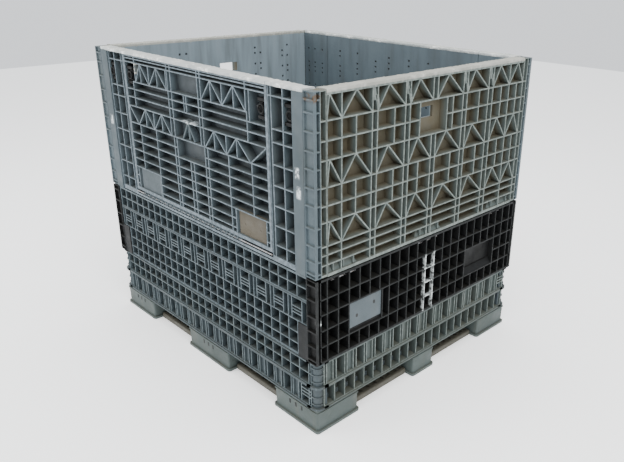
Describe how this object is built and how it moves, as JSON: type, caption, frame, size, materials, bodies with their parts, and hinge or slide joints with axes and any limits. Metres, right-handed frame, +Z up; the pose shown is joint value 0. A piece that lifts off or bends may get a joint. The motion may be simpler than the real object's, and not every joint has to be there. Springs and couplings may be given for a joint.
{
  "type": "collapsible bulk container",
  "caption": "Large ribbed plastic bulk container with folding walls, drop doors in both long sides and a base raised on feet for forklifts.",
  "frame": {"origin": "centre of the footprint on the ground", "axes": "+X to the right end wall, +Y to the rear wall, +Z up; the drop door in the picture faces -Y"},
  "size_m": [1.448, 1.219, 1.27],
  "materials": {
    "gray_plastic": "weathered ribbed blue-grey polyethylene, worn pale at the rib edges",
    "black_plastic": "dusty black polyethylene",
    "dark_plastic": "dark moulded latch plastic",
    "worn_rim": "rim rubbed pale",
    "pale_plastic": "pale grey plate",
    "beige_plastic": "aged beige plate",
    "runner_plastic": "scuffed grey runner",
    "steel": "zinc-plated steel"
  },
  "bodies": {
    "base_frame": {"base": "gray_plastic", "foot_front_left": "gray_plastic", "foot_front_middle": "gray_plastic", "foot_front_right": "gray_plastic", "foot_middle_left": "gray_plastic", "foot_middle_middle": "gray_plastic", "foot_middle_right": "gray_plastic", "foot_rear_left": "gray_plastic", "foot_rear_middle": "gray_plastic", "foot_rear_right": "gray_plastic", "front_lower_panel": "gray_plastic", "front_wall_hinge_pins": "steel", "left_lower_panel": "black_plastic", "left_placard": "pale_plastic", "left_wall_hinge_pins": "steel", "rear_lower_panel": "gray_plastic", "rear_wall_hinge_pins": "steel", "right_lower_panel": "black_plastic", "right_placard": "pale_plastic", "right_wall_hinge_pins": "steel", "runner_front_left": "runner_plastic", "runner_front_right": "runner_plastic", "runner_left_front": "runner_plastic", "runner_left_rear": "runner_plastic", "runner_rear_left": "runner_plastic", "runner_rear_right": "runner_plastic", "runner_right_front": "runner_plastic", "runner_right_rear": "runner_plastic"},
    "front_wall": {"front_wall": "gray_plastic", "front_wall_rim_left": "worn_rim", "front_wall_rim_right": "worn_rim", "front_wall_latch_springs": "steel", "front_door_hinge_rod": "steel"},
    "front_door": {"front_door": "gray_plastic", "front_door_rim": "worn_rim", "front_door_plate_left": "pale_plastic", "front_door_plate_right": "beige_plastic", "front_door_latch_springs": "steel"},
    "front_wall_latch_left": {"front_wall_latch_left": "dark_plastic"},
    "front_wall_latch_right": {"front_wall_latch_right": "dark_plastic"},
    "front_door_latch_left": {"front_door_latch_left": "dark_plastic"},
    "front_door_latch_right": {"front_door_latch_right": "dark_plastic"},
    "rear_wall": {"rear_wall": "gray_plastic", "rear_wall_rim_left": "worn_rim", "rear_wall_rim_right": "worn_rim", "rear_wall_latch_springs": "steel", "rear_door_hinge_rod": "steel"},
    "rear_door": {"rear_door": "gray_plastic", "rear_door_rim": "worn_rim", "rear_door_plate_left": "pale_plastic", "rear_door_plate_right": "pale_plastic", "rear_door_latch_springs": "steel"},
    "rear_wall_latch_left": {"rear_wall_latch_left": "dark_plastic"},
    "rear_wall_latch_right": {"rear_wall_latch_right": "dark_plastic"},
    "rear_door_latch_left": {"rear_door_latch_left": "dark_plastic"},
    "rear_door_latch_right": {"rear_door_latch_right": "dark_plastic"},
    "right_wall": {"right_wall": "gray_plastic", "right_wall_rim": "worn_rim"},
    "left_wall": {"left_wall": "gray_plastic", "left_wall_rim": "worn_rim"}
  },
  "joints": [
    {"name": "front_wall_fold", "type": "hinge", "parent": "base_frame", "child": "front_wall", "pos_m": [0, -0.5655, 0.647], "axis": [-1, 0, 0], "range_deg": [0, 90]},
    {"name": "front_door_drop", "type": "hinge", "parent": "front_wall", "child": "front_door", "pos_m": [0, -0.6035, 0.656], "axis": [1, 0, 0], "range_deg": [0, 177]},
    {"name": "front_wall_latch_left_slide", "type": "slide", "parent": "front_wall", "child": "front_wall_latch_left", "axis": [1, 0, 0], "range_m": [0, 0.022], "stiffness_N_per_m": 350, "springref_m": -0.01},
    {"name": "front_wall_latch_right_slide", "type": "slide", "parent": "front_wall", "child": "front_wall_latch_right", "axis": [-1, 0, 0], "range_m": [0, 0.022], "stiffness_N_per_m": 350, "springref_m": -0.01},
    {"name": "front_door_latch_left_slide", "type": "slide", "parent": "front_door", "child": "front_door_latch_left", "axis": [1, 0, 0], "range_m": [0, 0.022], "stiffness_N_per_m": 350, "springref_m": -0.01},
    {"name": "front_door_latch_right_slide", "type": "slide", "parent": "front_door", "child": "front_door_latch_right", "axis": [-1, 0, 0], "range_m": [0, 0.022], "stiffness_N_per_m": 350, "springref_m": -0.01},
    {"name": "rear_wall_fold", "type": "hinge", "parent": "base_frame", "child": "rear_wall", "pos_m": [0, 0.5655, 0.703], "axis": [1, 0, 0], "range_deg": [0, 90]},
    {"name": "rear_door_drop", "type": "hinge", "parent": "rear_wall", "child": "rear_door", "pos_m": [0, 0.6035, 0.656], "axis": [-1, 0, 0], "range_deg": [0, 177]},
    {"name": "rear_wall_latch_left_slide", "type": "slide", "parent": "rear_wall", "child": "rear_wall_latch_left", "axis": [-1, 0, 0], "range_m": [0, 0.022], "stiffness_N_per_m": 350, "springref_m": -0.01},
    {"name": "rear_wall_latch_right_slide", "type": "slide", "parent": "rear_wall", "child": "rear_wall_latch_right", "axis": [1, 0, 0], "range_m": [0, 0.022], "stiffness_N_per_m": 350, "springref_m": -0.01},
    {"name": "rear_door_latch_left_slide", "type": "slide", "parent": "rear_door", "child": "rear_door_latch_left", "axis": [-1, 0, 0], "range_m": [0, 0.022], "stiffness_N_per_m": 350, "springref_m": -0.01},
    {"name": "rear_door_latch_right_slide", "type": "slide", "parent": "rear_door", "child": "rear_door_latch_right", "axis": [1, 0, 0], "range_m": [0, 0.022], "stiffness_N_per_m": 350, "springref_m": -0.01},
    {"name": "right_wall_fold", "type": "hinge", "parent": "base_frame", "child": "right_wall", "pos_m": [0.7, 0, 0.607], "axis": [0, -1, 0], "range_deg": [0, 90]},
    {"name": "left_wall_fold", "type": "hinge", "parent": "base_frame", "child": "left_wall", "pos_m": [-0.7, 0, 0.607], "axis": [0, 1, 0], "range_deg": [0, 90]}
  ]
}
